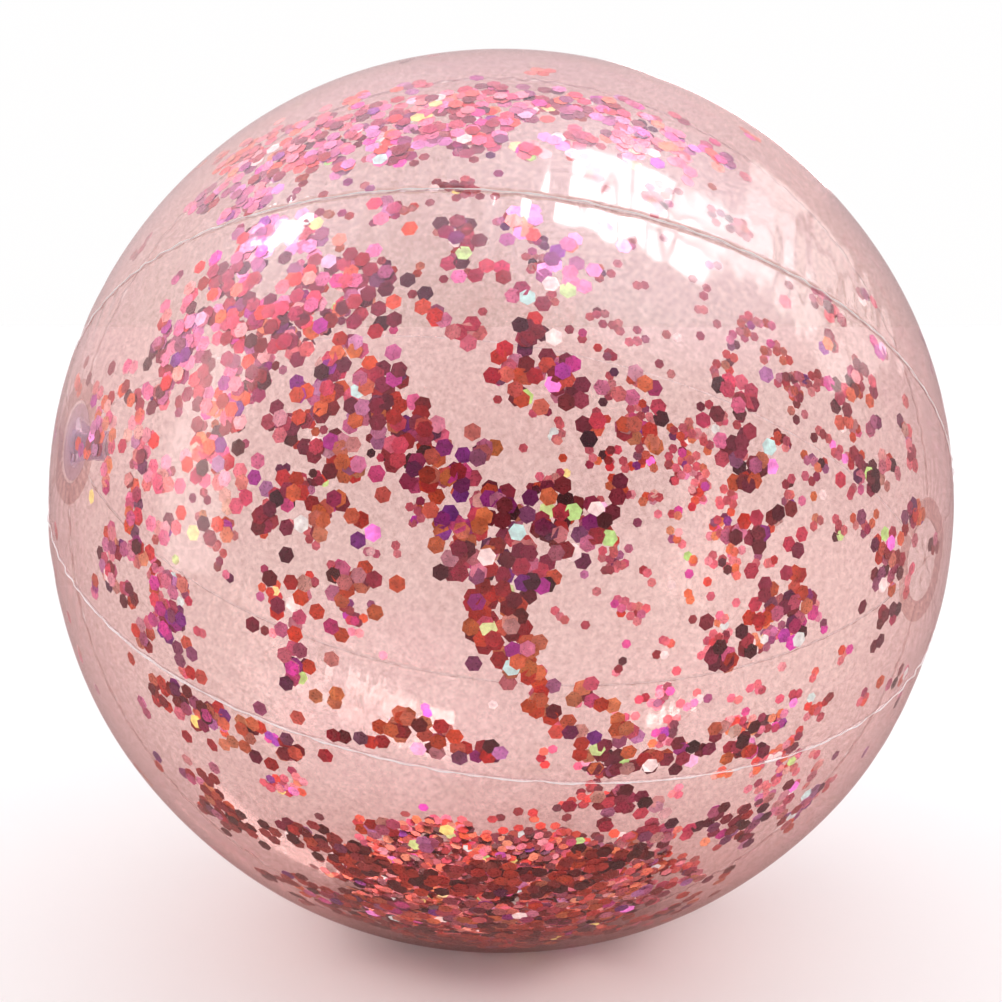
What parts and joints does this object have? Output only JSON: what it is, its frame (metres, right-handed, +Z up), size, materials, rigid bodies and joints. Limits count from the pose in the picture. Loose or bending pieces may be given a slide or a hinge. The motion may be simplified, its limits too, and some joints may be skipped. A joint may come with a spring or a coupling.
{
  "type": "inflatable beach ball",
  "caption": "Clear rose film beach ball of welded panels with round end caps, a push-in air valve with plug, and loose hexagonal glitter inside.",
  "frame": {"origin": "middle of the flat contact patch that the ball stands on", "axes": "+Z up against gravity, -Y towards the front panel, the polar axis along X and leaning 8 degrees, with the valve at its upper end towards -X"},
  "size_m": [0.302, 0.3, 0.2993],
  "materials": {
    "film": "clear rose-tinted glossy vinyl film",
    "seam": "welded double film, glossy and slightly milky",
    "cap": "clear rose-tinted glossy vinyl film with a pressed weld ring",
    "valve": "soft milky lilac vinyl moulding",
    "flap": "thin clear film tongue",
    "glitter": "metallised hologram film, cut in hexagons"
  },
  "bodies": {
    "ball": {"panel_1": "film", "panel_2": "film", "panel_3": "film", "panel_4": "film", "panel_5": "film", "panel_6": "film", "seam_1": "seam", "seam_2": "seam", "seam_3": "seam", "seam_4": "seam", "seam_5": "seam", "seam_6": "seam", "valve_end_cap": "cap", "plain_end_cap": "cap", "valve_flange": "valve", "valve_boot": "valve", "glitter_on_panel_1": "glitter", "glitter_on_panel_2": "glitter", "glitter_on_panel_3": "glitter", "glitter_on_panel_4": "glitter", "glitter_on_panel_5": "glitter", "glitter_on_panel_6": "glitter"},
    "stem": {"valve_stem": "valve", "plug_tether": "valve"},
    "flap": {"check_flap": "flap"},
    "plug": {"plug": "valve"},
    "pile": {"glitter_pile": "glitter"}
  },
  "joints": [
    {"name": "stem_pull", "type": "slide", "parent": "ball", "child": "stem", "axis": [-0.9903, 0, 0.1392], "range_m": [0, 0.012], "deforming": ["valve_boot"]},
    {"name": "plug_pull", "type": "slide", "parent": "stem", "child": "plug", "axis": [-0.9903, 0, 0.1392], "range_m": [0, 0.0085], "deforming": ["plug_tether"]},
    {"name": "flap_open", "type": "hinge", "parent": "stem", "child": "flap", "pos_m": [-0.13539, 0, 0.17221], "axis": [0, -1, 0], "range_deg": [0, 35], "stiffness_Nm_per_rad": 0.000005, "springref_deg": -11.46},
    {"name": "glitter_roll", "type": "hinge", "parent": "ball", "child": "pile", "pos_m": [0, 0, 0.14935], "axis": [-0.9903, 0, 0.1392], "continuous": true}
  ]
}
